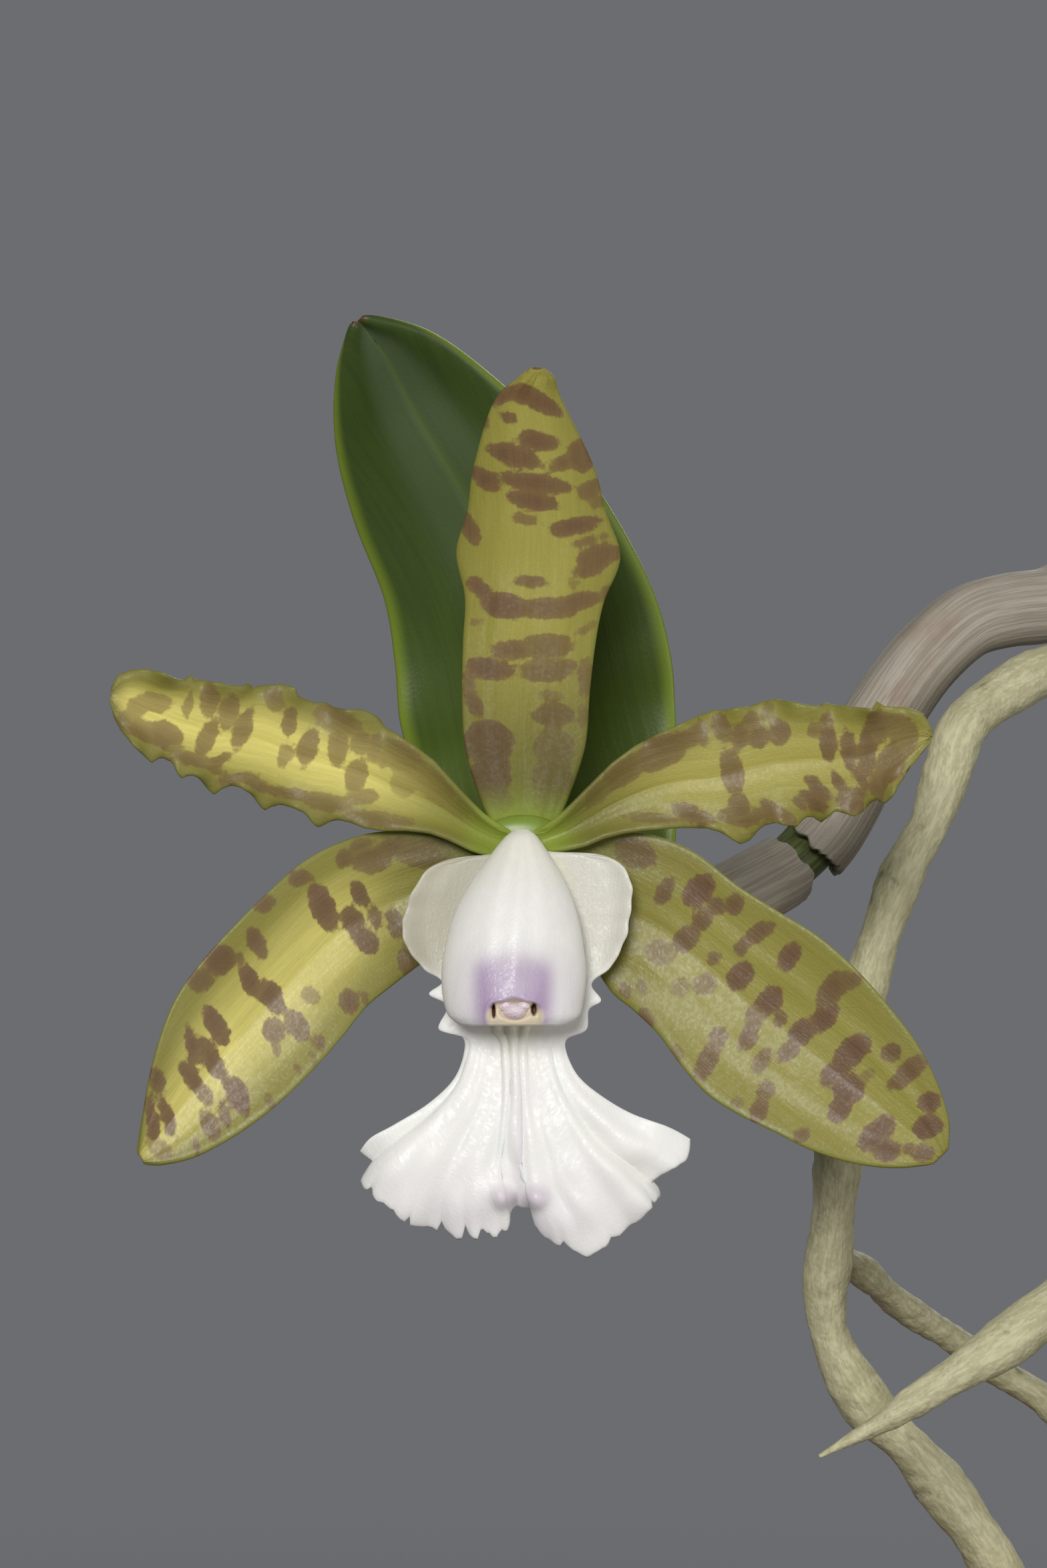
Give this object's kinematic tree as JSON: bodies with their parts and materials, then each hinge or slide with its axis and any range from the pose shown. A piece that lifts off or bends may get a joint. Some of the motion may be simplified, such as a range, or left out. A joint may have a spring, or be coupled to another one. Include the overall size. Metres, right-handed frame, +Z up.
{
  "type": "potted cattleya orchid",
  "caption": "Potted bifoliate cattleya: one spotted yellow-green bloom with a white lip, leathery leaves, jointed stems and silvery roots in bark in a plain clay pot.",
  "frame": {"origin": "centre of the pot's flat foot, on the surface that it stands on", "axes": "+Z up the pot's axis; the bloom faces -Y, and hangs over the pot's rim on the -X side"},
  "size_m": [0.2167, 0.1516, 0.2675],
  "materials": {
    "terracotta": "matte",
    "bark": "matte",
    "dry_stem": "matte",
    "green_stem": "satin",
    "dry_sheath": "matte",
    "root": "matte",
    "leaf": "satin",
    "tepal": "satin",
    "lip": "satin",
    "column": "satin"
  },
  "bodies": {
    "root": {"pot": "terracotta", "bark_mix": "bark", "rhizome": "dry_stem", "pseudobulb_flowering": "green_stem", "pseudobulb_back": "green_stem", "pseudobulb_front": "green_stem", "pseudobulb_old": "green_stem", "sheath_flowering": "dry_sheath", "sheath_flowering_upper": "dry_sheath", "sheath_back": "dry_sheath", "sheath_front": "dry_sheath", "sheath_old": "dry_sheath", "root_hanging": "root", "root_front": "root", "root_low_left": "root", "root_low_right": "root", "root_low_back": "root", "leaf_flowering_first": "leaf", "leaf_flowering_second": "leaf", "leaf_back_first": "leaf", "leaf_back_second": "leaf", "leaf_front_first": "leaf", "leaf_front_second": "leaf", "flower_stalk": "green_stem", "dorsal_sepal": "tepal", "lateral_sepal_left": "tepal", "lateral_sepal_right": "tepal", "petal_left": "tepal", "petal_right": "tepal", "lip": "lip", "column": "column", "anther_cap": "column"}
  },
  "joints": []
}
